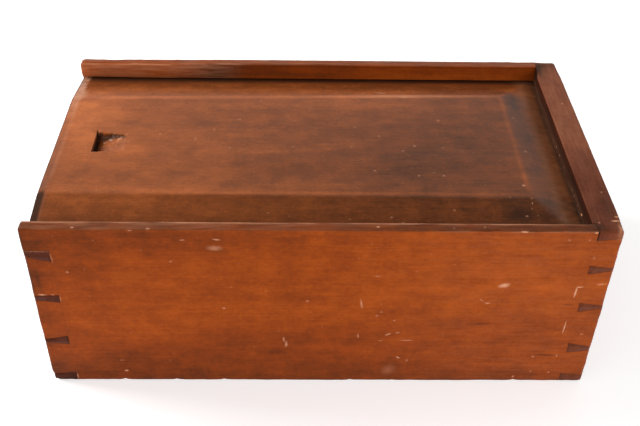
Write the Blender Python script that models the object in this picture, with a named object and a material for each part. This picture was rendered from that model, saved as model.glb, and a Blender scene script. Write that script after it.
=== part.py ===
"""A dovetailed wooden box with a fielded lid that slides out over its low end.

The boards are cut and planed the way a joiner makes them: pins stand on the end boards, the
long boards take them in sockets, the lid runs in a groove, and the bottom is let into a rebate
and nailed. Metres, +Z up. The origin is on the ground at the middle of the footprint, +X runs
along the box from the low end to the high end, and +Y runs from front to back.
"""

from math import radians

import bmesh
import bpy
from mathutils import Matrix, Vector

# The whole box
LENGTH = 0.381
DEPTH = 0.2126
HEIGHT = 0.142
SIDE = 0.008  # thickness of the long boards
END = 0.0165  # length of the end boards' pins, and thickness of the low end board
HIGH_END = 0.0190  # thickness of the high end board, which has a shoulder behind its pins
GAP = 0.0003  # kept between pieces that touch
OVER = 0.002  # how far a cutter passes the face that it cuts

# Dovetail pins, cut by hand and so all a little different, as heights above the ground:
# low and high at the baseline, then low and high at the board's outer face.
LOW_END_PINS = [
    (0.0, 0.0080, 0.0, 0.0065),
    (0.0377, 0.0452, 0.0393, 0.0420),
    (0.0779, 0.0843, 0.0800, 0.0835),
    (0.1144, 0.1233, 0.1188, 0.1233),
]
HIGH_END_PINS = [
    (0.0, 0.0080, 0.0, 0.0065),
    (0.0305, 0.0397, 0.0330, 0.0363),
    (0.0710, 0.0790, 0.0743, 0.0765),
    (0.1056, 0.1127, 0.1090, 0.1106),
    (0.1345, HEIGHT, 0.1365, HEIGHT),
]

# The groove that the lid runs in. Its floor is level with the top of the low end board.
GROOVE_FLOOR = 0.1233
GROOVE_TOP = 0.1285
GROOVE_IN_SIDE = 0.0036
GROOVE_IN_END = 0.0050

# The lid: a flat board with a raised field, bevelled down to a tongue on three edges
LID_TOP = 0.1343
LID_END_INSET = 0.0005  # how far the lid's open end sits behind the ends of the long boards
FIELD_FRONT = 0.0465  # from the box's front face to the field, at the lid's middle
FIELD_BACK = 0.0440  # from the box's back face to the field, at the lid's middle
FIELD_RIGHT = 0.0493  # from the box's high end to the field
END_CHAMFER = 0.006  # width of the worn chamfer along the lid's open end
END_CHAMFER_DROP = 0.0018

# The thumb notch: a wall to push against at its low-end side, and a floor that ramps up
NOTCH_WALL = 0.028  # from the box's low end
NOTCH_RUN = 0.0225
NOTCH_DEPTH = 0.0067
NOTCH_WIDE = 0.0245  # across the wall
NOTCH_NARROW = 0.0190  # where the ramp runs out

# The bottom board, let into a rebate under the four walls, and its square cut brads
BOTTOM = 0.009
REBATE_WALL = 0.0035  # what the rebate leaves of a long board's thickness
REBATE_END_WALL = 0.0085
NAIL_HEAD = 0.0022
NAIL_HEAD_THICK = 0.0008
NAIL_SHANK = 0.0015
NAIL_TIP = 0.0006
NAIL_LENGTH = 0.021
NAILS_PER_SIDE = 5
NAILS_PER_END = 3
SIDE_NAIL_SPREAD = 0.310  # first to last nail along a long board
END_NAIL_SPREAD = 0.140

# Base colour, roughness and metallic value of each material
ORANGE_WOOD = ((0.34, 0.115, 0.035), 0.42, 0.0)
BROWN_WOOD = ((0.20, 0.085, 0.045), 0.45, 0.0)
LID_WOOD = ((0.30, 0.125, 0.055), 0.40, 0.0)
BARE_WOOD = ((0.30, 0.19, 0.10), 0.75, 0.0)
IRON = ((0.05, 0.042, 0.038), 0.6, 0.9)

HIGH, LOW = 1, -1  # the two ends, by the sign of X
BACK, FRONT = 1, -1  # the two long sides, by the sign of Y


def clear_scene():
    for old in list(bpy.data.objects):
        bpy.data.objects.remove(old, do_unlink=True)


def new_collection(name):
    collection = bpy.data.collections.new(name)
    bpy.context.scene.collection.children.link(collection)
    return collection


def material(name, look):
    colour, roughness, metallic = look
    made = bpy.data.materials.new(name)
    made.use_nodes = True
    shader = made.node_tree.nodes["Principled BSDF"]
    shader.inputs["Base Color"].default_value = (*colour, 1.0)
    shader.inputs["Roughness"].default_value = roughness
    shader.inputs["Metallic"].default_value = metallic
    return made


def add_object(name, mesh, collection):
    made = bpy.data.objects.new(name, mesh)
    collection.objects.link(made)
    return made


def finish_mesh(name, bm):
    bmesh.ops.recalc_face_normals(bm, faces=bm.faces)
    mesh = bpy.data.meshes.new(name)
    bm.to_mesh(mesh)
    bm.free()
    return mesh


def block_bmesh(low, high):
    """A box between two opposite corners."""
    low, high = Vector(low), Vector(high)
    bm = bmesh.new()
    place = Matrix.Translation((low + high) / 2) @ Matrix.Diagonal((*(high - low), 1.0))
    bmesh.ops.create_cube(bm, size=1.0, matrix=place)
    return bm


def block(name, low, high, collection):
    return add_object(name, finish_mesh(name, block_bmesh(low, high)), collection)


def plank_outlines(name, outlines, y_low, y_high, collection):
    """Flat X-Z outlines, each extruded in Y between two depths, as one mesh."""
    curve = bpy.data.curves.new(name, "CURVE")
    curve.dimensions = "2D"
    curve.fill_mode = "BOTH"
    curve.extrude = (y_high - y_low) / 2
    for outline in outlines:
        spline = curve.splines.new("POLY")
        spline.points.add(len(outline) - 1)
        for point, (x, z) in zip(spline.points, outline):
            point.co = (x, z, 0.0, 1.0)
        spline.use_cyclic_u = True
    guide = add_object(name, curve, collection)
    guide.location.y = (y_low + y_high) / 2
    guide.rotation_euler.x = radians(90)
    bpy.context.view_layer.update()
    evaluated = guide.evaluated_get(bpy.context.evaluated_depsgraph_get())
    mesh = bpy.data.meshes.new_from_object(evaluated)
    mesh.transform(guide.matrix_world)
    bpy.data.objects.remove(guide)
    bm = bmesh.new()
    bm.from_mesh(mesh)
    bmesh.ops.remove_doubles(bm, verts=bm.verts, dist=0.00001)
    return add_object(name, finish_mesh(name, bm), collection)


def boolean(piece, operation, tool):
    modifier = piece.modifiers.new(tool.name, "BOOLEAN")
    modifier.operation = operation
    modifier.solver = "EXACT"
    modifier.object = tool


def pin_outline(end, pin, grow, past):
    """One pin seen from the front. Its sides may move out by grow, and its tip go past the end."""
    base_low, base_high, tip_low, tip_high = pin
    base_x, tip_x = LENGTH / 2 - END, LENGTH / 2
    low_slope = (tip_low - base_low) / END
    high_slope = (tip_high - base_high) / END
    corners = [
        (base_x - grow, base_low - grow - low_slope * grow),
        (tip_x + past, tip_low - grow + low_slope * past),
        (tip_x + past, tip_high + grow + high_slope * past),
        (base_x - grow, base_high + grow - high_slope * grow),
    ]
    return [(end * x, z) for x, z in corners]


def long_board(name, side, cutters, shared_cuts, collection):
    """The front or back board: sockets at both ends, and the lid's groove along its inner face."""
    outer, inner = side * DEPTH / 2, side * (DEPTH / 2 - SIDE)
    piece = block(
        name,
        (-LENGTH / 2, min(outer, inner), 0),
        (LENGTH / 2, max(outer, inner), HEIGHT),
        collection,
    )
    sockets = [pin_outline(LOW, pin, GAP, OVER) for pin in LOW_END_PINS]
    sockets += [pin_outline(HIGH, pin, GAP, OVER) for pin in HIGH_END_PINS]
    socket_tool = plank_outlines(
        f"{name}_sockets",
        sockets,
        min(outer, inner) - OVER,
        max(outer, inner) + OVER,
        cutters,
    )
    groove_bottom_y = inner + side * GROOVE_IN_SIDE
    open_y = inner - side * OVER
    groove_tool = block(
        f"{name}_groove",
        (-LENGTH / 2 - OVER, min(groove_bottom_y, open_y), GROOVE_FLOOR),
        (LENGTH / 2 - HIGH_END + GROOVE_IN_END, max(groove_bottom_y, open_y), GROOVE_TOP),
        cutters,
    )
    for tool in (socket_tool, groove_tool, *shared_cuts):
        boolean(piece, "DIFFERENCE", tool)
    return piece


def end_board(name, end, thick, pins, height, cutters, shared_cuts, collection):
    """An end board: a slab between the long boards, with pins that run through them."""
    outer, inner = end * LENGTH / 2, end * (LENGTH / 2 - thick)
    slab_half = DEPTH / 2 - SIDE - GAP
    piece = block(
        name,
        (min(outer, inner), -slab_half, 0),
        (max(outer, inner), slab_half, height),
        collection,
    )
    outlines = [pin_outline(end, pin, 0, 0) for pin in pins]
    pin_tool = plank_outlines(f"{name}_pins", outlines, -DEPTH / 2, DEPTH / 2, cutters)
    boolean(piece, "UNION", pin_tool)
    for tool in shared_cuts:
        boolean(piece, "DIFFERENCE", tool)
    return piece


def end_groove(cutters):
    """The groove in the high end board that takes the lid's closing edge."""
    return block(
        "high_end_groove",
        (LENGTH / 2 - HIGH_END - OVER, -DEPTH / 2 + SIDE - OVER, GROOVE_FLOOR),
        (LENGTH / 2 - HIGH_END + GROOVE_IN_END, DEPTH / 2 - SIDE + OVER, GROOVE_TOP),
        cutters,
    )


def nail_bmesh(grow, below):
    """A square brad standing on its head, tip up, each face moved out by grow."""
    head = NAIL_HEAD / 2 + grow
    bm = block_bmesh((-head, -head, -below), (head, head, NAIL_HEAD_THICK + grow))
    top = max(bm.faces, key=lambda face: face.calc_center_median().z)
    bmesh.ops.inset_individual(bm, faces=[top], thickness=(NAIL_HEAD - NAIL_SHANK) / 2)
    tip = bmesh.ops.extrude_discrete_faces(bm, faces=[top])["faces"][0]
    taper = (NAIL_TIP / 2 + grow) / (NAIL_SHANK / 2 + grow)
    for vert in tip.verts:
        vert.co.x *= taper
        vert.co.y *= taper
        vert.co.z = NAIL_LENGTH + grow
    return bm


def spread(count, width):
    return [width * (step / (count - 1) - 0.5) for step in range(count)]


def nail_places():
    """Where the brads stand: in the middle of each wall's shoulder above the rebate."""
    side_y = DEPTH / 2 - (REBATE_WALL + SIDE) / 2
    end_x = LENGTH / 2 - (REBATE_END_WALL + END) / 2
    places = []
    for side in (FRONT, BACK):
        places += [(x, side * side_y) for x in spread(NAILS_PER_SIDE, SIDE_NAIL_SPREAD)]
    for end in (LOW, HIGH):
        places += [(end * end_x, y) for y in spread(NAILS_PER_END, END_NAIL_SPREAD)]
    return places


def nail_holes(cutters):
    """All the brads' holes as one tool."""
    holes = bmesh.new()
    for x, y in nail_places():
        hole = nail_bmesh(GAP, OVER)
        hole.transform(Matrix.Translation((x, y, GAP)))
        mesh = finish_mesh("one_hole", hole)
        holes.from_mesh(mesh)
        bpy.data.meshes.remove(mesh)
    return add_object("nail_holes", finish_mesh("nail_holes", holes), cutters)


def bottom_extent(clearance):
    """The bottom board's half length and half depth, with clearance added."""
    half_x = LENGTH / 2 - REBATE_END_WALL - GAP + clearance
    half_y = DEPTH / 2 - REBATE_WALL - GAP + clearance
    return half_x, half_y


def rebate(cutters):
    """The step under the four walls that the bottom board drops into."""
    half_x, half_y = bottom_extent(GAP)
    top = BOTTOM + GAP
    return block("rebate", (-half_x, -half_y, -OVER), (half_x, half_y, top), cutters)


def bottom_board(holes, collection):
    half_x, half_y = bottom_extent(0)
    piece = block(
        "bottom_board", (-half_x, -half_y, 0), (half_x, half_y, BOTTOM), collection
    )
    boolean(piece, "DIFFERENCE", holes)
    return piece


def plane_cut(bm, point, normal):
    """Takes off what stands on the normal's side of a plane, as a hand plane does."""
    everything = bm.verts[:] + bm.edges[:] + bm.faces[:]
    cut = bmesh.ops.bisect_plane(
        bm, geom=everything, plane_co=point, plane_no=normal, clear_outer=True
    )
    rim = [part for part in cut["geom_cut"] if isinstance(part, bmesh.types.BMEdge)]
    bmesh.ops.edgeloop_fill(bm, edges=rim)


def lid_top_planes():
    """The lid's field and its front, back and closing-end bevels, each as (point, normal)."""
    tongue_top = GROOVE_TOP - GAP
    drop = LID_TOP - tongue_top
    field_y = (-DEPTH / 2 + FIELD_FRONT, DEPTH / 2 - FIELD_BACK)
    runs = (FIELD_FRONT - SIDE, FIELD_BACK - SIDE)
    faces = [((0, 0, LID_TOP), Vector((0, 0, 1)))]
    for side, y, run in zip((FRONT, BACK), field_y, runs):
        slope = Vector((0, side * drop / run, 1)).normalized()
        faces.append(((0, y, LID_TOP), slope))
    right_slope = Vector((drop / (FIELD_RIGHT - HIGH_END), 0, 1)).normalized()
    faces.append(((LENGTH / 2 - FIELD_RIGHT, 0, LID_TOP), right_slope))
    return faces


def notch_tool(cutters):
    """A wedge: upright at its low-end side, with a ramped floor and sides that close in."""
    wall_x = -LENGTH / 2 + NOTCH_WALL
    half = NOTCH_WIDE / 2
    bm = block_bmesh(
        (wall_x, -half, LID_TOP - NOTCH_DEPTH),
        (wall_x + NOTCH_RUN + OVER, half, LID_TOP + OVER),
    )
    corner = Vector((wall_x, 0, LID_TOP - NOTCH_DEPTH))
    plane_cut(bm, corner, Vector((NOTCH_DEPTH, 0, -NOTCH_RUN)).normalized())
    closing = (NOTCH_WIDE - NOTCH_NARROW) / 2
    for side in (FRONT, BACK):
        edge = Vector((wall_x, side * half, 0))
        plane_cut(bm, edge, Vector((closing, side * NOTCH_RUN, 0)).normalized())
    return add_object("thumb_notch", finish_mesh("thumb_notch", bm), cutters)


def sliding_lid(cutters, collection):
    """The lid, with its origin on the line it slides along."""
    half_y = DEPTH / 2 - SIDE + GROOVE_IN_SIDE - GAP
    open_end = -LENGTH / 2 + LID_END_INSET
    closed_end = LENGTH / 2 - HIGH_END + GROOVE_IN_END - GAP
    bm = block_bmesh(
        (open_end, -half_y, GROOVE_FLOOR + GAP), (closed_end, half_y, LID_TOP)
    )
    faces = lid_top_planes()
    for point, normal in faces[1:]:
        plane_cut(bm, point, normal)
    chamfer_x = open_end + END_CHAMFER
    for point, normal in faces[:3]:
        on_face = (chamfer_x, point[1], point[2])
        tipped = normal - Vector((END_CHAMFER_DROP / END_CHAMFER, 0, 0))
        plane_cut(bm, on_face, tipped.normalized())
    slide_axis = Vector((open_end, 0, GROOVE_FLOOR + GAP))
    bm.transform(Matrix.Translation(-slide_axis))
    guide = add_object("lid_slide", None, collection)
    guide.location = slide_axis
    piece = add_object("sliding_lid", finish_mesh("sliding_lid", bm), collection)
    piece.parent = guide
    boolean(piece, "DIFFERENCE", notch_tool(cutters))
    return piece


def bottom_nails(collection):
    mesh = finish_mesh("bottom_nail", nail_bmesh(0, 0))
    nails = []
    for number, (x, y) in enumerate(nail_places(), start=1):
        nail = add_object(f"bottom_nail_{number:02d}", mesh, collection)
        nail.location = (x, y, GAP)
        nails.append(nail)
    return nails


def main():
    clear_scene()
    box = new_collection("slide_lid_box")
    cutters = new_collection("cutters")
    holes = nail_holes(cutters)
    shared = (rebate(cutters), holes)
    front = long_board("front_side", FRONT, cutters, shared, box)
    back = long_board("back_side", BACK, cutters, shared, box)
    left = end_board("left_end", LOW, END, LOW_END_PINS, GROOVE_FLOOR, cutters, shared, box)
    with_groove = (*shared, end_groove(cutters))
    right = end_board(
        "right_end", HIGH, HIGH_END, HIGH_END_PINS, HEIGHT, cutters, with_groove, box
    )
    bottom = bottom_board(holes, box)
    lid = sliding_lid(cutters, box)
    nails = bottom_nails(box)

    front.data.materials.append(material("front_wood", ORANGE_WOOD))
    back.data.materials.append(material("back_wood", ORANGE_WOOD))
    left.data.materials.append(material("left_end_wood", BROWN_WOOD))
    right.data.materials.append(material("right_end_wood", BROWN_WOOD))
    lid.data.materials.append(material("lid_wood", LID_WOOD))
    bottom.data.materials.append(material("bottom_wood", BARE_WOOD))
    nails[0].data.materials.append(material("nail_iron", IRON))
    for tool in cutters.objects:
        tool.hide_render = True
        tool.display_type = "WIRE"


main()
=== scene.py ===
"""Looks of the slide-lid wooden box: worn boards, old shellac, a hand-planed lid, soft light.

Every board starts from its CAD node's own shape, is cut into a fine grid, and is then worn:
arrises rounded, corners rubbed down, faces planed slightly hollow. The lid's upper face is
made afresh, because its bevels twist. Lengths in the helpers are in millimetres, measured from
the box's low end, front face and base; place() turns them into the frame's metres.
"""

from math import cos, radians, sin

import bmesh
import bpy
import numpy as np
from mathutils import Matrix, Vector


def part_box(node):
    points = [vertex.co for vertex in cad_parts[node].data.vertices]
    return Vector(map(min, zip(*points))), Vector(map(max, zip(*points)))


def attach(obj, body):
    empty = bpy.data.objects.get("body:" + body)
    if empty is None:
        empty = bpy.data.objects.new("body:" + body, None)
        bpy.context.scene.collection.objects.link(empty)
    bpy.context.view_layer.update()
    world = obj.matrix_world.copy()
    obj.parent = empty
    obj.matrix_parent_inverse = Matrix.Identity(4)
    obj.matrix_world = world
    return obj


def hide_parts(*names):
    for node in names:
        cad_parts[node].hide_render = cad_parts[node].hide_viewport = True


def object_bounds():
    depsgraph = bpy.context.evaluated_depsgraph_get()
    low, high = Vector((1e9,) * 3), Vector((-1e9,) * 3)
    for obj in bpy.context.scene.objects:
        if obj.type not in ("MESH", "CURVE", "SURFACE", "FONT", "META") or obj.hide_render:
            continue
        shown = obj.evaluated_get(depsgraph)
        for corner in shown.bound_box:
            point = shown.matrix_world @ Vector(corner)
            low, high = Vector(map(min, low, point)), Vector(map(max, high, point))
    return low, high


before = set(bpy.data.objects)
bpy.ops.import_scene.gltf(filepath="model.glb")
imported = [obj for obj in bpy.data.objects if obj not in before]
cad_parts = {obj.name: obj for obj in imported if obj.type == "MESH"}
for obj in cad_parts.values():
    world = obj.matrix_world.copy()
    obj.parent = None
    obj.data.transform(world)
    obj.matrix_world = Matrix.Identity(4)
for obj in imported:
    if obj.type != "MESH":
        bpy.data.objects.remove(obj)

CAD_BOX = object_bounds()
LOW = Vector(CAD_BOX[0])
HIGH = Vector(CAD_BOX[1])
MM = 0.001
LENGTH, DEPTH, HEIGHT = [(HIGH[i] - LOW[i]) / MM for i in range(3)]


def node_mm(name):
    """A CAD node's lowest and highest corners, in millimetres from the box's own corner."""
    low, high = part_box(name)
    return (Vector(low) - LOW) / MM, (Vector(high) - LOW) / MM


FRONT_IN = node_mm("front_side")[1].y
BACK_IN = node_mm("back_side")[0].y
LEFT_IN = node_mm("left_end")[1].x
RIGHT_IN = node_mm("right_end")[0].x
LEFT_TOP = node_mm("left_end")[1].z
LID_LOW, LID_HIGH = node_mm("sliding_lid")
LIP_LOW = LEFT_TOP + 5.2  # the upper side of the lid's groove
PIN_BASE = LENGTH - 16.5  # where the high end board's pins begin
X_AXIS, Y_AXIS, Z_AXIS = 0, 1, 2


def place(x, y, z):
    """A point in the frame, in metres, from millimetres off the box's own corner."""
    return LOW + Vector((x, y, z)) * MM


# ---------------- smooth repeatable noise


def lattice(ix, iy, iz, seed):
    """A repeatable number from -1 to 1 for each whole-number cell."""
    mixed = ix * 374761393 + iy * 668265263 + iz * 2147483647 + seed * 1274126177
    mixed = (mixed ^ (mixed >> 13)) * 1274126177
    mixed = mixed ^ (mixed >> 16)
    return (mixed & 0xFFFF) / 32767.5 - 1.0


def noise(points, sizes, seed=0):
    """Smooth noise, from -1 to 1, whose lumps are as wide as sizes along X, Y and Z."""
    scaled = points / np.array(sizes, float)
    cell = np.floor(scaled).astype(np.int64)
    part = scaled - cell
    part = part * part * (3 - 2 * part)
    total = np.zeros(len(points))
    for corner in range(8):
        step = np.array([corner & 1, corner >> 1 & 1, corner >> 2 & 1])
        weight = np.prod(np.where(step, part, 1 - part), axis=1)
        at = cell + step
        total += weight * lattice(at[:, 0], at[:, 1], at[:, 2], seed)
    return total


def plan_noise(x, y, sizes, seed):
    """Smooth noise over the box's plan, the same at all heights."""
    return noise(np.stack([x, y, 0 * x], axis=1), (*sizes, 1), seed)


def smoothstep(value, start, end):
    """Goes smoothly from 0 to 1 as value goes from start to end, up or down."""
    t = np.clip((value - start) / (end - start), 0, 1)
    return t * t * (3 - 2 * t)


def bump(value, centre, width):
    """A smooth hill, 1 at its centre and nearly 0 at twice its width."""
    return np.exp(-(((value - centre) / width) ** 2))


# ---------------- cutting boards into a grid

# Tolerances, in millimetres
WELD = 0.005
SLIVER = 0.001
ON_PLANE = 0.002
SAME_FACE = 0.99999  # the cosine between two faces' normals that makes them one flat face
NEAR_FACES = (0.35, 0.8, 1.4, 2.2, 3.4, 5.0)


def grid_lines(low, high, spacing, near=NEAR_FACES):
    """Cutting places between two faces: close together near each face, then evenly spaced."""
    lines = []
    for step in near:
        if step < (high - low) / 2:
            lines += [low + step, high - step]
    inner_low, inner_high = low + near[-1], high - near[-1]
    if inner_high - inner_low > spacing:
        count = round((inner_high - inner_low) / spacing)
        lines += list(np.linspace(inner_low, inner_high, count + 1)[1:-1])
    return sorted(lines)


def gridded(node, lines_by_axis):
    """A bmesh of a CAD node in millimetres, cut by planes and with its diagonals taken out."""
    bm = bmesh.new()
    bm.from_mesh(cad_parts[node].data)
    bm.transform(Matrix.Scale(1 / MM, 4) @ Matrix.Translation(-LOW))
    bmesh.ops.remove_doubles(bm, verts=bm.verts, dist=WELD)
    bmesh.ops.dissolve_degenerate(bm, edges=bm.edges, dist=SLIVER)
    for axis, lines in enumerate(lines_by_axis):
        normal = Vector((0, 0, 0))
        normal[axis] = 1
        for line in lines:
            everything = bm.verts[:] + bm.edges[:] + bm.faces[:]
            bmesh.ops.bisect_plane(
                bm, geom=everything, dist=ON_PLANE, plane_co=normal * line, plane_no=normal
            )
    diagonals = []
    for edge in bm.edges:
        if len(edge.link_faces) != 2:
            continue
        along = edge.verts[1].co - edge.verts[0].co
        slanted = sorted(abs(part) for part in along)[1] > ON_PLANE
        first, second = edge.link_faces
        if slanted and first.normal.dot(second.normal) > SAME_FACE:
            diagonals.append(edge)
    bmesh.ops.dissolve_edges(bm, edges=diagonals, use_verts=True)
    return bm


def coordinates(bm):
    return np.array([vert.co for vert in bm.verts], float).reshape(-1, 3)


def set_coordinates(bm, points):
    for vert, point in zip(bm.verts, points):
        vert.co = point


def finished_piece(name, bm, node, body, sharp_angle=38):
    """Puts a bmesh in millimetres into the scene as the piece that stands for a CAD node."""
    bm.transform(Matrix.Translation(LOW) @ Matrix.Scale(MM, 4))
    bmesh.ops.recalc_face_normals(bm, faces=bm.faces)
    mesh = bpy.data.meshes.new(name)
    bm.to_mesh(mesh)
    bm.free()
    mesh.shade_smooth()
    mesh.set_sharp_from_angle(angle=radians(sharp_angle))
    piece = bpy.data.objects.new(name, mesh)
    bpy.context.scene.collection.objects.link(piece)
    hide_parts(node)
    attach(piece, body)
    return piece


# ---------------- wear


def round_arris(points, face_a, face_b, radius):
    """Rounds the arris where two faces meet. A face is (axis, place, outward sign).
    Radius is one length, or one for each point."""
    radius = np.broadcast_to(radius, len(points))
    depths = []
    for axis, at, sign in (face_a, face_b):
        depths.append((sign * (points[:, axis] - at) + radius) / radius)
    u, v = depths
    near = (u > 0) & (v > 0)
    largest = np.maximum(u, v)
    shrink = np.ones(len(points))
    shrink[near] = largest[near] / np.hypot(u[near], v[near])
    for (axis, at, sign), depth in zip((face_a, face_b), depths):
        moved = at + sign * (depth * shrink - 1) * radius
        points[:, axis] = np.where(near, moved, points[:, axis])


# Chips out of the lower front arris: place along the front, size
BASE_CHIPS = [(51, 1.6), (88, 1.1), (107, 1.0), (122, 1.2), (212, 0.9), (243, 0.8), (331, 1.2)]
# Nicks along the top front arris: place, size
TOP_NICKS = [(38, 0.7), (83, 0.6), (95, 0.5), (216, 0.6), (300, 0.6), (343, 0.9), (352, 0.8)]
NO_WEAR = 0.02  # a radius too small to see


def wear_outside(points):
    """Rubs down every outer arris and corner of the whole box, the same way for all boards."""
    x, y = points[:, 0].copy(), points[:, 1].copy()
    z = points[:, 2].copy()
    ripple = 1 + 0.35 * noise(points, (9, 9, 9), 3) + 0.25 * noise(points, (3, 3, 3), 4)
    left, right = (0, 0.0, -1), (0, LENGTH, 1)
    front, back = (1, 0.0, -1), (1, DEPTH, 1)
    base, top = (2, 0.0, -1), (2, HEIGHT, 1)

    top_front = 0.9 + 1.6 * smoothstep(x, 352, 376) + 1.0 * smoothstep(x, 14, 2)
    for at, size in TOP_NICKS:
        top_front = top_front + size * bump(x, at, 1.6)
    top_back = 1.3 + 0.9 * smoothstep(x, 120, 10) + 1.2 * smoothstep(x, 360, 378)
    base_front = np.full(len(x), 0.8)
    for at, size in BASE_CHIPS:
        base_front = base_front + size * bump(x, at, 1.5)
    round_arris(points, front, top, top_front * ripple)
    round_arris(points, back, top, top_back * ripple)
    round_arris(points, front, base, base_front * ripple)
    round_arris(points, back, base, 1.0 * ripple)
    right_top = 0.8 + 1.6 * bump(y, 0, 12) + 2.6 * bump(y, DEPTH, 18)
    round_arris(points, right, top, right_top * ripple)
    round_arris(points, left, base, (1.8 + 1.6 * bump(y, 0, 12) + bump(y, DEPTH, 12)) * ripple)
    round_arris(points, right, base, (1.6 + 1.2 * bump(y, 0, 12) + bump(y, DEPTH, 12)) * ripple)
    round_arris(points, left, top, 1.8 + 1.4 * smoothstep(y, 60, 150))
    upright = 1.5 + 0.5 * noise(points, (30, 30, 22), 5)
    round_arris(points, left, front, upright * ripple)
    round_arris(points, left, back, upright * ripple)
    round_arris(points, right, front, (upright + 0.6) * ripple)
    round_arris(points, right, back, (upright + 0.4) * ripple)
    # the bottom corner pins at the low end are rubbed back a little
    sunk = smoothstep(z, 9.5, 8.0) * smoothstep(x, 15.5, 13.5)
    points[:, 0] += 0.9 * sunk * smoothstep(x, 6, 0)


def plane_faces(points, low, high, depth=0.12):
    """Leaves flat outer faces very slightly hollow, as a hand plane does."""
    for axis in range(3):
        sizes = [42.0, 42.0, 42.0]
        sizes[axis] = 1000.0
        dish = depth * (0.5 + 0.5 * noise(points, sizes, 20 + axis))
        for at, sign in ((low[axis], -1), (high[axis], 1)):
            close = np.clip(1 - np.abs(points[:, axis] - at) / 3.0, 0, 1)
            points[:, axis] -= sign * dish * close


def above_groove(points):
    """Which points belong to the part of a wall that stands above the lid's groove."""
    return points[:, 2] > LIP_LOW - 0.1


def long_board(name, node, outer_sign):
    """The front or back board. outer_sign is -1 at the front."""
    low, high = node_mm(node)
    x_lines = grid_lines(low.x, high.x, 4.2)
    if outer_sign < 0:
        chips = [at for at, _ in BASE_CHIPS + TOP_NICKS]
        x_lines += [at + step for at in chips for step in (-1.4, -0.5, 0.5, 1.4)]
    z_lines = grid_lines(low.z, high.z, 4.4)
    z_lines += [LIP_LOW + step for step in (0.3, 0.8, 1.6)]
    y_lines = grid_lines(low.y, high.y, 2.0, near=(0.35, 0.8, 1.4, 2.2))
    bm = gridded(node, (sorted(set(x_lines)), y_lines, z_lines))
    points = coordinates(bm)
    x = points[:, 0].copy()
    ripple = 1 + 0.3 * noise(points, (11, 11, 11), 7)
    inner = (1, FRONT_IN, 1) if outer_sign < 0 else (1, BACK_IN, -1)
    in_recess = smoothstep(x, RIGHT_IN + 0.5, RIGHT_IN - 2.0)
    handled = (outer_sign > 0) * smoothstep(x, 150, 30)
    handled = handled * (1.5 + 0.9 * noise(points, (16, 400, 400), 33))
    round_arris(points, inner, (2, HEIGHT, 1), 0.15 + (0.75 + handled) * in_recess * ripple)
    above = above_groove(points)
    lip_free = in_recess * above
    lip_free = lip_free * (1 + 1.5 * (handled > 0) * smoothstep(x, 60, 10))
    lip_radius = np.where(above, 0.1 + 0.6 * lip_free * ripple, NO_WEAR)
    round_arris(points, inner, (2, LIP_LOW, -1), lip_radius)
    above = above_groove(points)
    lip_end = np.where(above, 1.6 + 1.2 * (outer_sign > 0), NO_WEAR)
    round_arris(points, (0, 0.0, -1), (2, LIP_LOW, -1), lip_end)
    round_arris(points, (0, 0.0, -1), inner, np.where(above, 1.2, NO_WEAR))
    wear_outside(points)
    plane_faces(points, low, high)
    if outer_sign > 0:
        wavy = 0.35 * (1 + noise(points, (14, 400, 400), 31)) * smoothstep(x, 190, 20)
        points[:, 2] -= wavy * smoothstep(points[:, 2], HEIGHT - 6, HEIGHT - 0.5)
    set_coordinates(bm, points)
    return finished_piece(name, bm, node, "box")


def end_board(name, node, outer_sign):
    """The low or high end board, with its pins. outer_sign is -1 at the low end."""
    low, high = node_mm(node)
    y_lines = grid_lines(low.y, high.y, 4.4) + [FRONT_IN - 0.4, BACK_IN + 0.4]
    z_lines = grid_lines(low.z, high.z, 4.4) + [LIP_LOW + 0.3, LIP_LOW + 1.2]
    x_lines = grid_lines(low.x, high.x, 3.0)
    bm = gridded(node, (x_lines, sorted(set(y_lines)), sorted(z_lines)))
    points = coordinates(bm)
    ripple = 1 + 0.3 * noise(points, (11, 11, 11), 9)
    inside = smoothstep(points[:, 1], FRONT_IN - 0.2, FRONT_IN + 2.5)
    inside *= smoothstep(points[:, 1], BACK_IN + 0.2, BACK_IN - 2.5)
    if outer_sign > 0:
        inner = (0, RIGHT_IN, -1)
        at_corner = bump(points[:, 1], BACK_IN, 13)
        top_radius = 0.15 + (0.45 + 2.6 * at_corner) * inside * ripple
        round_arris(points, inner, (2, HEIGHT, 1), top_radius)
        hollowed = smoothstep(points[:, 1], BACK_IN - 20, BACK_IN - 2)
        hollowed *= np.clip((PIN_BASE - points[:, 0]) / (PIN_BASE - RIGHT_IN), 0, 1)
        points[:, 0] += 2.2 * hollowed * above_groove(points)
    else:
        outer, inner = (0, 0.0, -1), (0, LEFT_IN, 1)
        round_arris(points, outer, (2, high.z, 1), 0.15 + 0.8 * ripple)
        round_arris(points, inner, (2, high.z, 1), 0.15 + 0.4 * inside * ripple)
    wear_outside(points)
    plane_faces(points, low, high)
    set_coordinates(bm, points)
    return finished_piece(name, bm, node, "box")


def bottom_board():
    """The board that is nailed under the walls, bare and hardly worn."""
    low, high = node_mm("bottom_board")
    near = (0.4, 1.0, 2.5)
    lines = [grid_lines(low[i], high[i], (12.0, 12.0, 3.0)[i], near) for i in range(3)]
    bm = gridded("bottom_board", lines)
    points = coordinates(bm)
    plane_faces(points, low, high, 0.06)
    set_coordinates(bm, points)
    return finished_piece("bottom_plank", bm, "bottom_board", "box")


# ---------------- the lid

FIELD_Z = LID_HIGH.z
TONGUE_Z = LIP_LOW - 0.3
FIELD_RIGHT = 331.7
NOTCH_WALL = 28.0
NOTCH_RUN = 22.5
NOTCH_DEPTH = 6.7
NOTCH_MIDDLE = 106.0
NOTCH_HALF_WIDTH = 12.2
NOTCH_TAPER = 2.7
FRONT_BLEND, BACK_BLEND, RIGHT_BLEND = 0.22, 0.60, 0.55  # how soft the field's edges are
END_CHAMFER = 5.8  # how far the wear on the open end reaches in


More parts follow.
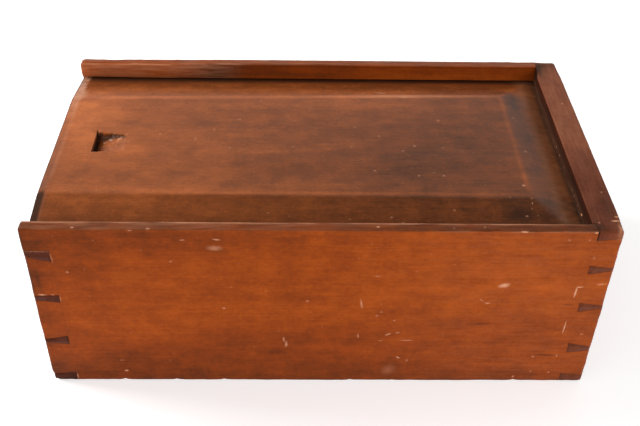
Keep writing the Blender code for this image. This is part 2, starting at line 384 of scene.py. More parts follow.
def soft_least(a, b, blend):
    """The lower of two heights, with the corner between them rounded off."""
    gap = np.clip(0.5 + 0.5 * (b - a) / blend, 0, 1)
    return b + (a - b) * gap - blend * gap * (1 - gap)


def lid_surfaces(x, y):
    """Heights of the field and of the three bevels, each as if it went on past its edges.
    The bevels twist slightly, because their edges with the field aren't quite parallel."""
    front_edge = np.interp(x, [0, 170, FIELD_RIGHT], [47.9, 45.2, 45.0])
    back_edge = np.interp(x, [0, 170, FIELD_RIGHT], [164.9, 168.6, 172.0])
    rise = FIELD_Z - TONGUE_Z
    strokes = 0.07 * plan_noise(x, y, (160, 17), 41) + 0.05 * plan_noise(x, y, (60, 60), 42)
    field = FIELD_Z - 0.12 + strokes
    front = TONGUE_Z + rise * (y - FRONT_IN) / (front_edge - FRONT_IN)
    back = TONGUE_Z + rise * (BACK_IN - y) / (BACK_IN - back_edge)
    right = TONGUE_Z + rise * (RIGHT_IN - x) / (RIGHT_IN - FIELD_RIGHT)
    return field, front, back, right


def lid_height(x, y):
    """The height of the lid's upper face, with its open end chamfered by wear."""
    field, front, back, right = lid_surfaces(x, y)
    height = soft_least(field, front, FRONT_BLEND)
    height = soft_least(height, back, BACK_BLEND)
    height = soft_least(height, right, RIGHT_BLEND)
    end_edge = END_CHAMFER + 0.5 * plan_noise(x, y, (9, 13), 43)
    height -= 0.12 * np.log1p(np.exp(np.clip((end_edge - x) / 0.5, -30, 30)))
    return np.minimum(height, FIELD_Z)


def creases(x, y, reach):
    """1 along the ridges where two of the lid's surfaces meet, 0 further off than reach."""
    heights = np.sort(np.stack(lid_surfaces(x, y)), axis=0)
    slope = (FIELD_Z - TONGUE_Z) / (RIGHT_IN - FIELD_RIGHT)
    return smoothstep((heights[1] - heights[0]) / slope, reach, 0)


def notch_floor(x, y):
    """How far the thumb notch goes below the field, 0 outside it. Its back side is torn, and a
    cut runs on past the end of its upright wall."""
    along = (x - NOTCH_WALL) / NOTCH_RUN
    half = NOTCH_HALF_WIDTH - NOTCH_TAPER * along
    torn = 0.9 * plan_noise(x, y, (2.6, 1.4), 51) + 0.6 * plan_noise(x, y, (1.1, 0.9), 52)
    from_back = NOTCH_MIDDLE + half - y - 0.5 * torn
    from_front = y - (NOTCH_MIDDLE - half) + 0.12 * torn
    depth = NOTCH_DEPTH * (1 - along)
    depth *= smoothstep(from_front, 0.0, 0.5)
    back_step = 0.55 * smoothstep(from_back, 0.0, 0.7) + 0.45 * smoothstep(from_back, 1.2, 4.5)
    depth *= back_step
    inside = smoothstep(x, NOTCH_WALL - 0.05, NOTCH_WALL + 0.35)
    floor = np.clip(depth, 0, None) * inside * (along < 1)
    ragged = 0.22 * (plan_noise(x, y, (1.6, 1.2), 53) + plan_noise(x, y, (4, 0.7), 54))
    floor += ragged * smoothstep(floor, 0.3, 1.5)
    overrun = bump(x, NOTCH_WALL + 0.3, 0.45) * smoothstep(y, 121.5, 119.0)
    overrun *= smoothstep(y, 115, 117)
    return np.maximum(floor, 1.6 * overrun)


def lid_grid():
    """Places along X and Y that the lid's upper face is cut at, closer where it is carved."""
    low, high = LID_LOW, LID_HIGH
    near_x = [0.5, 1.2, 2.0, 3.0, 4.0, 4.8, 5.6, 6.6, 8.0]
    x_lines = [low.x, high.x] + [low.x + step for step in near_x]
    x_lines += list(np.arange(12, NOTCH_WALL - 1.5, 4.0))
    x_lines += [NOTCH_WALL + step for step in (-1.0, -0.3, 0.0, 0.15, 0.35)]
    x_lines += list(np.arange(NOTCH_WALL + 0.9, NOTCH_WALL + NOTCH_RUN + 2, 0.6))
    x_lines += list(np.arange(NOTCH_WALL + NOTCH_RUN + 4, FIELD_RIGHT - 8, 4.0))
    x_lines += list(np.arange(FIELD_RIGHT - 6, FIELD_RIGHT + 7, 1.2))
    x_lines += list(np.arange(FIELD_RIGHT + 9, high.x - 2, 2.5))
    y_lines = [low.y, high.y, FRONT_IN, BACK_IN]
    y_lines += list(np.arange(low.y + 3, 40, 4.0)) + list(np.arange(41, 52, 1.1))
    y_lines += list(np.arange(55, 92, 4.2)) + list(np.arange(92.5, 122.5, 0.65))
    y_lines += list(np.arange(126, 160, 4.2)) + list(np.arange(162, 178, 1.1))
    y_lines += list(np.arange(181, high.y - 2, 4.0))
    xs = np.array(sorted(set(np.round(x_lines, 3))))
    ys = np.array(sorted(set(np.round(y_lines, 3))))
    return xs, ys


def sliding_lid():
    """The lid: its upper face is a grid raised to lid_height, with walls and a flat underside."""
    xs, ys = lid_grid()
    grid_x, grid_y = np.meshgrid(xs, ys, indexing="ij")
    flat_x, flat_y = grid_x.ravel(), grid_y.ravel()
    tops = lid_height(flat_x, flat_y) - notch_floor(flat_x, flat_y)
    bm = bmesh.new()
    upper = [bm.verts.new(p) for p in zip(flat_x, flat_y, tops)]
    columns = len(ys)
    for i in range(len(xs) - 1):
        for j in range(columns - 1):
            here = i * columns + j
            beyond = here + columns
            bm.faces.new((upper[here], upper[beyond], upper[beyond + 1], upper[here + 1]))
    rim = [edge for edge in bm.edges if edge.is_boundary]
    lower = {}
    for edge in rim:
        for vert in edge.verts:
            if vert not in lower:
                lower[vert] = bm.verts.new((vert.co.x, vert.co.y, LID_LOW.z))
    for edge in rim:
        first, second = edge.verts
        bm.faces.new((second, lower[second], lower[first], first))
    under = [edge for edge in bm.edges if edge.is_boundary]
    bmesh.ops.edgeloop_fill(bm, edges=under)
    floor = [face for face in bm.faces if len(face.verts) > 4]
    bmesh.ops.triangulate(bm, faces=floor)
    return finished_piece("fielded_lid", bm, "sliding_lid", "lid", sharp_angle=30)


# ---------------- materials

# In materials, lengths are in metres
FINE_RELIEF = 0.0002
TORN_REACH = 0.0007
TORN_LUMPS = 900  # to the metre


class Shader:
    """A short way to write a material's nodes."""

    def __init__(self, name):
        self.material = bpy.data.materials.new(name)
        self.material.use_nodes = True
        self.tree = self.material.node_tree
        self.surface = self.tree.nodes["Principled BSDF"]
        self.object = self.node("ShaderNodeTexCoord").outputs["Object"]
        self.normal = self.node("ShaderNodeTexCoord").outputs["Normal"]

    def node(self, kind, **settings):
        made = self.tree.nodes.new(kind)
        for key, value in settings.items():
            setattr(made, key, value)
        return made

    def put(self, value, socket):
        """Links value to the socket if it is another node's, or else sets the number."""
        if isinstance(value, bpy.types.NodeSocket):
            self.tree.links.new(value, socket)
        else:
            socket.default_value = value

    def math(self, operation, a, b=0.0, clamp=False):
        made = self.node("ShaderNodeMath", operation=operation, use_clamp=clamp)
        self.put(a, made.inputs[0])
        self.put(b, made.inputs[1])
        return made.outputs[0]

    def add(self, *terms):
        total = terms[0]
        for term in terms[1:]:
            total = self.math("ADD", total, term)
        return total

    def times(self, a, b):
        return self.math("MULTIPLY", a, b)

    def fade(self, value, start, end, low=0.0, high=1.0):
        """Goes smoothly from low to high as value goes from start to end."""
        made = self.node("ShaderNodeMapRange", interpolation_type="SMOOTHSTEP")
        for socket, number in zip(made.inputs, (value, start, end, low, high)):
            self.put(number, socket)
        return made.outputs[0]

    def split(self, vector):
        made = self.node("ShaderNodeSeparateXYZ")
        self.put(vector, made.inputs[0])
        return made.outputs

    def stretched(self, scales, shift):
        made = self.node("ShaderNodeMapping")
        self.put(self.object, made.inputs["Vector"])
        made.inputs["Scale"].default_value = scales
        made.inputs["Location"].default_value = shift
        return made.outputs[0]

    def noise(self, scales, detail, roughness, shift=(0.0, 0.0, 0.0)):
        """Noise from 0 to 1 with about scales lumps to the metre along each axis."""
        made = self.node("ShaderNodeTexNoise")
        self.put(self.stretched(scales, shift), made.inputs["Vector"])
        made.inputs["Scale"].default_value = 1.0
        made.inputs["Detail"].default_value = detail
        made.inputs["Roughness"].default_value = roughness
        return made.outputs["Fac"]

    def specks(self, scales, size, shift):
        """Scattered dots: 1 in the middle of about a third of the cells, 0 elsewhere."""
        made = self.node("ShaderNodeTexVoronoi")
        self.put(self.stretched(scales, shift), made.inputs["Vector"])
        made.inputs["Scale"].default_value = 1.0
        near = self.fade(made.outputs["Distance"], size, size * 0.5)
        picked = self.split(made.outputs["Color"])
        return self.times(near, self.fade(picked[0], 0.62, 0.66))

    def ramp(self, value, stops):
        made = self.node("ShaderNodeValToRGB")
        self.put(value, made.inputs[0])
        stretch = made.color_ramp.elements
        while len(stretch) < len(stops):
            stretch.new(0.5)
        for element, (position, colour) in zip(stretch, stops):
            element.position = position
            element.color = (*colour, 1.0)
        return made.outputs[0]

    def mix(self, amount, a, b):
        """Colour a, changed to b by amount. The node's colour sockets go by their places,
        because its number sockets have the same names."""
        made = self.node("ShaderNodeMix", data_type="RGBA")
        self.put(amount, made.inputs["Factor"])
        for value, socket in ((a, made.inputs[6]), (b, made.inputs[7])):
            self.put((*value, 1.0) if isinstance(value, tuple) else value, socket)
        return made.outputs[2]

    def attribute(self, name):
        return self.node("ShaderNodeAttribute", attribute_name=name).outputs["Fac"]

    def mark(self, where, length, width, turn, across, deep):
        """An oval scar on a face, 1 in its middle and 0 at its rim. Lengths are in millimetres,
        and across is the axis that the face looks along."""
        rotation = [0.0, 0.0, 0.0]
        rotation[across] = -radians(turn) if across == Y_AXIS else radians(turn)
        size = [length * MM, width * MM]
        size.insert(across, deep * MM)
        made = self.node("ShaderNodeMapping", vector_type="TEXTURE")
        self.put(self.ragged, made.inputs["Vector"])
        made.inputs["Location"].default_value = place(*where)
        made.inputs["Rotation"].default_value = rotation
        made.inputs["Scale"].default_value = size
        ball = self.node("ShaderNodeTexGradient", gradient_type="SPHERICAL")
        self.put(made.outputs[0], ball.inputs[0])
        return ball.outputs["Fac"]

    def ragged_coordinates(self):
        """Coordinates pushed about by fine noise, so that marks have torn rims."""
        cloud = self.node("ShaderNodeTexNoise")
        self.put(self.object, cloud.inputs["Vector"])
        cloud.inputs["Scale"].default_value = TORN_LUMPS
        cloud.inputs["Detail"].default_value = 2.0
        centred = self.node("ShaderNodeVectorMath", operation="SUBTRACT")
        self.put(cloud.outputs["Color"], centred.inputs[0])
        centred.inputs[1].default_value = (0.5, 0.5, 0.5)
        scaled = self.node("ShaderNodeVectorMath", operation="SCALE")
        self.put(centred.outputs[0], scaled.inputs[0])
        scaled.inputs["Scale"].default_value = TORN_REACH * 2
        moved = self.node("ShaderNodeVectorMath", operation="ADD")
        self.put(self.object, moved.inputs[0])
        self.put(scaled.outputs[0], moved.inputs[1])
        self.ragged = moved.outputs[0]

    def marks(self, listed, across, at, deep=3, gain=2.2):
        """The strongest of many scars at each point. They lie in the plane square to the axis
        across, at that place along it, and reach deep to either side of it."""
        found = None
        for first, second, length, width, turn, strength in listed:
            where = [first, second]
            where.insert(across, at)
            one = self.mark(where, length, width, turn, across, deep)
            one = self.math("MULTIPLY", one, gain * strength, clamp=True)
            found = one if found is None else self.math("MAXIMUM", found, one)
        return found

    def bumped(self, height, distance):
        """Shades the surface as if it had a relief that is too fine for the mesh."""
        made = self.node("ShaderNodeBump")
        made.inputs["Distance"].default_value = distance
        self.put(height, made.inputs["Height"])
        self.put(made.outputs["Normal"], self.surface.inputs["Normal"])


# The pale colour of scars and wear, also used for painted highlights and sheen, and the dark colour
# of dirt, also used for painted shade
PALE_SCAR_AND_SHEEN = (0.64, 0.29, 0.16)
DARK_GRIME_AND_SHADE = (0.016, 0.009, 0.006)
# Tints of the shellac's reflections
AMBER = (1.0, 0.62, 0.38)
BROWN = (1.0, 0.80, 0.66)
RED = (1.0, 0.60, 0.45)
# Stain, from where it is darkest to where it is lightest
BARE_COLOURS = [
    (0.25, (0.17, 0.083, 0.034)),
    (0.5, (0.32, 0.170, 0.074)),
    (0.75, (0.45, 0.265, 0.130)),
]
SIDE_COLOURS = [
    (0.0, (0.050, 0.014, 0.007)),
    (0.25, (0.130, 0.026, 0.006)),
    (0.5, (0.265, 0.047, 0.006)),
    (0.75, (0.410, 0.079, 0.008)),
    (1.0, (0.580, 0.135, 0.018)),
]
LID_COLOURS = [
    (0.0, (0.022, 0.010, 0.006)),
    (0.25, (0.082, 0.024, 0.008)),
    (0.5, (0.198, 0.050, 0.012)),
    (0.75, (0.360, 0.090, 0.019)),
    (1.0, (0.560, 0.150, 0.034)),
]
END_COLOURS = [
    (0.0, (0.024, 0.008, 0.004)),
    (0.3, (0.084, 0.019, 0.009)),
    (0.6, (0.190, 0.050, 0.022)),
    (1.0, (0.340, 0.120, 0.055)),
]


def wood(name, grain, seed, colours, specular, tint, rough, mottled, marked_by=(), darkened_by=()):
    """Old shellacked wood, bare where a board was never finished. The piece's painted numbers say
    how light, how dirty or in painted shade, how rubbed or lit by a painted sheen, and how bare or
    dull each place is. The last two arguments hold what marks() is called with, for pale scars
    and for dark cracks and lines."""
    shader = Shader(name)
    shader.ragged_coordinates()
    shift = (seed * 1.7, seed * 2.3, seed * 0.9)

    def grained(lengthwise, crosswise, detail, roughness):
        """Noise with so many lumps to the metre along the grain and across it."""
        scales = [lengthwise if axis == grain else crosswise for axis in range(3)]
        return shader.noise(scales, detail, roughness, shift)

    streaks = grained(6.0, 75.0, 4.0, 0.6)
    mottle = grained(55.0, 80.0, 6.0, 0.68)
    lines = grained(30.0, 800.0, 3.0, 0.6)
    ticks = grained(600.0, 60.0, 2.0, 0.5)
    grit = grained(380.0, 620.0, 3.0, 0.6)
    patchy = grained(45.0, 480.0, 5.0, 0.6)
    figure = shader.add(
        shader.times(streaks, 0.24),
        shader.times(mottle, mottled),
        shader.times(lines, 0.20),
        shader.times(ticks, 0.06),
        shader.times(grit, 0.24),
        -0.37 - mottled / 2,
    )
    across = shader.math("ABSOLUTE", shader.split(shader.normal)[grain])
    end_grain = shader.fade(across, 0.6, 0.85)
    tone = shader.add(shader.attribute("tone"), figure, shader.times(end_grain, -0.27))

    # Pale specks, scars and rubbed wear, together with painted highlights and sheen
    pale_marks_and_sheen = shader.times(shader.specks((130.0, 130.0, 130.0), 0.10, shift), 0.20)
    for scars in marked_by:
        pale_marks_and_sheen = shader.math("MAXIMUM", pale_marks_and_sheen, shader.marks(*scars))
    rub = shader.times(shader.attribute("rub"), shader.fade(patchy, 0.22, 0.78))
    pale_marks_and_sheen = shader.math("MAXIMUM", pale_marks_and_sheen, rub)
    # Dirt and dark lines, together with painted shade
    grime = shader.times(shader.attribute("grime"), shader.fade(patchy, 0.15, 0.5, 0.7, 1.0))
    for dark_lines in darkened_by:
        grime = shader.math("MAXIMUM", grime, shader.marks(*dark_lines))

    stained = shader.mix(grime, shader.ramp(tone, colours), DARK_GRIME_AND_SHADE)
    stained = shader.mix(pale_marks_and_sheen, stained, PALE_SCAR_AND_SHEEN)
    raw = shader.ramp(shader.add(0.52, shader.times(figure, 1.4)), BARE_COLOURS)
    bare = shader.attribute("bare")
    dusty = shader.mix(shader.times(shader.attribute("grime"), 0.6), raw, DARK_GRIME_AND_SHADE)
    shader.put(shader.mix(bare, stained, dusty), shader.surface.inputs["Base Color"])
    roughness = shader.add(
        rough,
        shader.times(pale_marks_and_sheen, 0.30),
        shader.times(grime, 0.15),
        shader.times(mottle, 0.12),
        shader.times(bare, 0.35),
        shader.times(shader.attribute("dull"), 0.45),
    )
    shader.put(roughness, shader.surface.inputs["Roughness"])
    height = shader.add(
        shader.times(lines, 0.5),
        shader.times(ticks, 0.12),
        shader.times(mottle, 0.3),
        shader.times(pale_marks_and_sheen, -1.0),
    )
    shader.bumped(height, FINE_RELIEF)
    shader.surface.inputs["Specular IOR Level"].default_value = specular
    shader.surface.inputs["Specular Tint"].default_value = (*tint, 1.0)
    return shader.material


# Scars and cracks: two places on a face, half length, half width, turn in degrees, strength
FRONT_SCARS = [
    # x, z, ...
    (121.8, 126.6, 6.2, 2.9, 0, 0.24),
    (123.4, 133.8, 3.4, 0.9, -5, 0.42),
    (101.6, 133.2, 2.4, 0.8, 5, 0.3),
    (311, 95, 4.8, 2.5, 14, 0.62),
    (302.2, 78.7, 2.4, 0.7, -8, 0.6),
    (297.8, 81.4, 2.4, 0.7, -40, 0.3),
    (165.2, 42.8, 3.2, 1, 100, 0.36),
    (166.8, 37.8, 3.8, 1.2, 86, 0.38),
    (217.4, 77.6, 5.6, 0.9, 98, 0.36),
    (216.5, 46.6, 3, 0.8, 92, 0.34),
    (250.4, 42.2, 6, 0.75, 1, 0.36),
    (237.4, 48.3, 3, 0.9, 28, 0.4),
    (243.6, 49.9, 2.4, 0.9, 5, 0.3),
    (245.6, 24.6, 2.2, 0.9, -30, 0.5),
    (252.2, 21.6, 1.8, 1, 60, 0.25),
    (359.6, 89.2, 6.6, 0.9, 87, 0.7),
    (361.4, 93.9, 2.8, 0.8, 4, 0.55),
    (358.3, 55.6, 7.4, 0.7, 88, 0.65),
    (375.4, 96.6, 4.6, 1, 3, 0.32),
    (93.2, 115, 1.4, 1, 0, 0.2),
    (125.2, 73, 1.6, 1, 0, 0.4),
    (181.4, 80, 1.5, 1.1, 0, 0.32),
    (25.6, 105.2, 1.2, 1, 0, 0.38),
    (6, 84.9, 3.4, 0.9, 0, 0.55),
    (13, 84.9, 1.4, 0.7, 0, 0.4),
    (53, 10, 1.6, 1, 0, 0.7),
    (51, 21, 2.2, 0.8, 0, 0.15),
    (330.4, 4.6, 1.3, 0.8, 60, 0.5),
    (341.5, 25.6, 1.6, 1, 0, 0.28),
    (239.6, 11.6, 8, 6, 60, 0.1),
    (17.6, 4.2, 3.8, 0.5, 92, 0.45),
    (70, 141, 2.2, 0.7, 0, 0.3),
    (317.5, 141.3, 3.4, 0.7, 0, 0.7),
    (363, 140.8, 1.6, 0.8, 0, 0.7),
    (226.8, 102.8, 3.2, 0.9, -4, 0.2),
    (228.5, 66.2, 1.4, 1.2, 0, 0.25),
    (231.3, 70, 1.6, 1, 0, 0.18),
    (240.7, 61.8, 1.3, 1, 0, 0.3),
    (232.3, 42, 2.4, 1, 0, 0.16),
    (371.5, 48.9, 1.9, 1.2, 0, 0.25),
    (365.6, 120, 1.3, 1.2, 0, 0.22),
    (346.8, 134.7, 1.5, 1.4, 0, 0.16),
    (359.8, 134.8, 1.4, 1.2, 0, 0.16),
    (358, 27, 1, 1.6, 0, 0.35),
    (355.4, 9.3, 1.1, 1, 0, 0.5),
    (342.4, 10, 1.2, 1.1, 0, 0.22),
    (17.4, 118, 5.5, 0.6, 96, 0.2),
    (17.4, 81.2, 4.5, 0.6, 92, 0.18),
]
FRONT_TOP_SCARS = [
    # x, y, ...
    (225.2, 3.8, 1.6, 1.2, 0, 0.55),
    (292.7, 4.2, 0.9, 0.9, 0, 0.4),
    (273, 2.8, 0.9, 0.7, 0, 0.25),
    (34, 1.6, 1.6, 0.9, 0, 0.6),
    (81, 1, 2.4, 1, 0, 0.35),
    (89.5, 7.4, 1.2, 0.7, 0, 0.6),
]
FRONT_CRACKS = [
    # x, z, ...
    (298.5, 58.8, 10.5, 1.3, 1, 0.42),
    (288, 55, 12, 3.5, 4, 0.14),
    (350.5, 27.6, 12.5, 0.9, -3, 0.55),
    (373, 26.5, 7.5, 0.6, 0, 0.35),
    (357, 77.5, 6, 1, -5, 0.35),
    (310, 23, 13, 3, 8, 0.12),
    (16.8, 71, 78, 0.45, 90, 0.12),
    (364, 71, 78, 0.45, 90, 0.07),
    (5.5, 98, 13, 2.2, 92, 0.3),
    (11, 123, 8, 0.5, 0, 0.3),
]
LID_SCARS = [
    # x, y, ...
    (74, 117, 1.5, 1, 0, 0.2),
    (52, 106.5, 1.2, 1, 0, 0.2),
    (100, 111, 3.4, 1.6, 95, 0.12),
    (125.5, 100, 1.4, 1.2, 0, 0.2),
    (112.5, 123, 1.2, 1.2, 0, 0.2),
    (336.2, 142.7, 1.3, 1, 0, 0.4),
    (337.6, 99.6, 1.8, 1.5, 0, 0.28),
    (255.5, 169, 2.2, 1, 0, 0.5),
    (238, 177, 6, 1.4, -25, 0.3),
    (328.4, 58, 1.6, 1.2, 0, 0.55),
    (331.5, 44, 1, 0.6, 80, 0.35),
    (331, 39.5, 1.4, 0.6, 85, 0.38),
    (330, 34.5, 1.1, 0.6, 80, 0.25),
    (333, 28.5, 1, 0.7, 0, 0.2),
    (325.5, 28, 1.4, 1, 0, 0.35),
    (323, 18.6, 1.6, 1.2, 0, 0.8),
    (359.5, 181, 1.4, 1.2, 0, 0.45),
    (278, 33, 1.3, 1, 0, 0.26),
    (44.5, 112, 2.6, 1.6, 20, 0.45),
    (49.5, 116, 1.2, 0.8, 0, 0.4),
    (29, 93.4, 1, 0.5, 0, 0.4),
    (233, 116, 1.4, 1, 0, 0.3),
    (257.8, 103.8, 1.4, 1.1, 0, 0.38),
    (278.6, 137.2, 1.7, 1.4, 0, 0.26),
    (227.6, 73.8, 1.5, 1.1, 0, 0.28),
    (257.8, 68.2, 1.3, 1.1, 0, 0.3),
    (268.6, 72, 1.2, 0.9, 0, 0.24),
    (275, 68.4, 1.3, 1.1, 0, 0.32),
    (249.2, 97.8, 1.2, 1, 0, 0.22),
    (212.6, 102.2, 1.2, 1, 0, 0.28),
    (171, 135.2, 1.3, 1, 0, 0.22),
    (170.5, 101.6, 1.2, 0.9, 0, 0.2),
    (130.4, 136.8, 1.7, 1, 0, 0.24),
    (145.2, 162, 1.2, 0.9, 0, 0.26),
    (278.2, 102, 1.2, 0.9, 0, 0.24),
    (216, 127.6, 1.6, 0.9, 0, 0.22),
    (236, 26.4, 1.3, 0.9, 0, 0.34),
    (243.5, 22, 1.8, 0.8, 0, 0.24),
    (154.8, 29.6, 1.4, 0.8, 0, 0.24),
]
LID_CRACKS = [
    # x, y, ... of the split past the notch's tip, and the notch's front edge
    (48.6, 112.7, 3.2, 0.9, 2, 0.5),
    (36.5, 94.9, 9.5, 0.6, 5, 0.55),
]
HIGH_END_SCARS = [
    # y, z, ... on the inner side
    (29.7, 131.6, 2.1, 1, -25, 1),
    (40, 131.4, 0.9, 0.6, 0, 0.35),
    (50.5, 131.3, 1.4, 0.7, 0, 0.3),
    (57, 131.3, 1.6, 0.6, 0, 0.22),
    (83, 131.5, 0.9, 0.6, 0, 0.3),
    (97, 131.6, 1.1, 0.7, 0, 0.45),
    (108, 131.6, 1.1, 0.7, 0, 0.4),
]
HIGH_END_DARK_LINES = [
    # y, z, ... of the dark line along the inner side
    (100, 135.9, 130, 1.1, 0, 1),
]
HIGH_END_TOP_SCARS = [
    # x, y, ...
    (379.2, 15, 2.2, 0.9, 0, 0.8),
    (377.6, 10.9, 3.6, 1, 2, 0.95),
    (379.5, 3.6, 1.8, 2.6, 0, 0.6),
    (366.4, 9.2, 0.9, 0.9, 0, 0.4),
    (373.5, 150, 1.2, 1.2, 0, 0.45),
    (376, 41, 0.9, 0.9, 0, 0.4),
]


def paint(piece, **layers):
    """Stores numbers for each vertex, for the material to read: how light the stain is, painted
    light and shade included; how dirty or in painted shade; how rubbed or lit by a painted sheen;
    and how bare or dull the wood is."""
    for name in ("tone", "grime", "rub", "bare", "dull"):
        values = np.zeros(len(piece.data.vertices)) + layers.get(name, 0.0)
        layer = piece.data.attributes.new(name, "FLOAT", "POINT")
        layer.data.foreach_set("value", np.clip(values, 0, 1.5).astype(np.float32))


def vertices_mm(piece):
    """The X, Y and Z of a piece's vertices, in millimetres from the box's own corner."""
    flat = np.zeros(len(piece.data.vertices) * 3)
    piece.data.vertices.foreach_get("co", flat)
    return ((flat.reshape(-1, 3) - np.array(LOW)) / MM).T


def strongest(*layers):
    """The largest of several layers at each vertex."""
    return np.maximum.reduce(np.broadcast_arrays(*layers))


def patches(first, second, listed):
    """The sum of soft oval patches: (place, place, half size, half size, amount)."""
    total = np.zeros(len(first))
    for a, b, wide_a, wide_b, amount in listed:
        total += amount * bump(first, a, wide_a) * bump(second, b, wide_b)
    return total


def unfinished(x, y, z):
    """1 on the inner faces, in the groove and underneath, where the wood was left bare."""
    inside = (y > FRONT_IN - 0.3) & (y < BACK_IN + 0.3) & (z < LEFT_TOP - 0.5)
    inside &= (x > LEFT_IN - 0.3) & (x < RIGHT_IN + 0.3)
    groove = (z > LEFT_TOP - 0.3) & (z < LIP_LOW + 0.2) & (x > 0.6) & (x < LENGTH - 4.0)
    in_side = ((y > 4.0) & (y < FRONT_IN - 0.3)) | ((y > BACK_IN + 0.3) & (y < DEPTH - 4.0))
    groove &= in_side | ((x > RIGHT_IN + 0.3) & (y > 4.0) & (y < DEPTH - 4.0))
    return (inside | groove | (z < 0.1)).astype(float)


FRONT_PATCHES = [
    # lighter and darker stain: x, z, two half sizes, amount
    (75, 62, 45, 16, 0.07),
    (300, 95, 90, 30, 0.085),
    (300, 134, 70, 12, 0.07),
    (350, 88, 30, 14, 0.07),
    (215, 75, 90, 14, 0.04),
    (80, 138, 110, 13, -0.15),
    (25, 112, 34, 20, -0.09),
    (60, 12, 110, 15, -0.15),
    (215, 14, 60, 16, -0.12),
    (150, 38, 45, 14, -0.10),
    (60, 28, 50, 10, -0.06),
    (200, 50, 26, 10, -0.06),
    (262, 62, 20, 8, -0.03),
    (290, 50, 22, 8, 0.06),
]


def paint_front(piece):
    x, y, z = vertices_mm(piece)
    tone = 0.51 + patches(x, z, FRONT_PATCHES)
    # Darker towards the base: painted shade near the floor
    tone -= 0.10 * smoothstep(z, 22, 2)
    tone -= 0.10 * smoothstep(x, 22, 0)
    on_top = smoothstep(z, HEIGHT - 0.9, HEIGHT - 0.2)
    tone -= on_top * (0.05 + 0.27 * smoothstep(x, 130, 340))
    grime = 0.35 * bump(z, 0.2, 1.5) + 0.35 * bump(x, 0.5, 2.2) * smoothstep(z, 70, 90)
    grime += 0.5 * smoothstep(y, FRONT_IN - 0.9, FRONT_IN) * (z > LIP_LOW) * (z < HEIGHT - 0.6)
    grime += on_top * (0.20 + 0.45 * smoothstep(x, 357, 362))
    # The top front arris is paler, more towards the high end: worn, and a painted highlight along
    # it
    front_arris = bump(z, HEIGHT - 0.7, 0.5) * smoothstep(y, 1.6, 0.6)
    rub = front_arris * (0.08 + 0.42 * smoothstep(x, 230, 330))
    # Pale scuffs on top, with a painted sheen, more towards the low end
    rub += on_top * (0.10 + 0.14 * smoothstep(x, 260, 100))
    # A painted highlight along the top's inner arris
    rub += 0.75 * on_top * bump(y, FRONT_IN - 1.1, 0.8) * smoothstep(x, 365, 330)
    # A painted sheen, paler towards the high end of the front face
    rub += 0.06 * smoothstep(x, 190, 330) * (z < HEIGHT - 1)
    rub += 0.9 * smoothstep(x, 374, 380) * smoothstep(z, 132, 139)
    paint(piece, tone=tone, grime=grime, rub=rub, bare=unfinished(x, y, z))


LIP_STAINS = [
    # dirt on the back lip's inner side: x, z, half sizes, amount
    (108, 135, 9, 6, 0.9),
    (128, 139, 14, 3, 0.7),
    (150, 137, 12, 4, 0.6),
    (60, 130, 60, 2, 0.5),
]


def paint_back(piece):
    x, y, z = vertices_mm(piece)
    lip = (y < BACK_IN + 1) & (z > LIP_LOW - 0.2)
    on_top = smoothstep(z, HEIGHT - 1.0, HEIGHT - 0.2)
    long_streaks = noise(np.stack([x, y, z], axis=1), (24, 400, 1.6), 61)
    tone = 0.48 - lip * (0.04 - 0.14 * smoothstep(x, 140, 70) - 0.10 * smoothstep(x, 190, 270))
    # The second term darkens towards the base: painted shade near the floor
    tone -= 0.08 * on_top + 0.08 * smoothstep(z, 22, 2)
    tone += 0.10 * lip * long_streaks - 0.26 * lip * bump(x, 102, 26)
    tone += 0.16 * lip * bump(z, LIP_LOW + 1.1, 0.5) * smoothstep(x, 150, 300)
    # Darker at the foot of the lip's inner side: painted shade at the mouth of the groove
    grime = 0.45 * lip * smoothstep(z, LIP_LOW + 0.9, LIP_LOW)
    grime += 0.35 * bump(z, 0.2, 1.5)
    grime += 0.45 * patches(x, z, LIP_STAINS) * lip
    grime += 0.35 * lip * bump(z, HEIGHT - 1.6, 0.7) * smoothstep(x, 140, 170)
    high = 0.5 + 0.8 * smoothstep(z, 133, 139)
    rub = 0.46 * lip * (1 + 0.5 * long_streaks) * smoothstep(x, 135, 108) * high + 0.24 * on_top
    paint(piece, tone=tone, grime=grime, rub=rub, bare=unfinished(x, y, z))


def paint_low_end(piece):
    x, y, z = vertices_mm(piece)
    # The middle term darkens towards the base: painted shade near the floor
    tone = 0.62 - 0.10 * smoothstep(z, 22, 2) - 0.10 * (y < 0.6)
    grime = 0.35 * bump(z, 0.2, 1.5)
    rub = 0.4 * smoothstep(z, LEFT_TOP - 1.2, LEFT_TOP - 0.3)
    paint(piece, tone=tone, grime=grime, rub=rub, bare=unfinished(x, y, z))


TOP_STAINS = [
    # dirt on top of the high end board: x, y, half sizes, amount
    (376, 26, 3.5, 13, 1.2),
    (372, 75, 6, 16, 0.4),
    (365, 4, 5, 4, 1.6),
    (365, 200, 5, 9, 2.2),
    (372, 207, 9, 3.5, 1.5),
    (369, 120, 3, 10, 0.3),
]


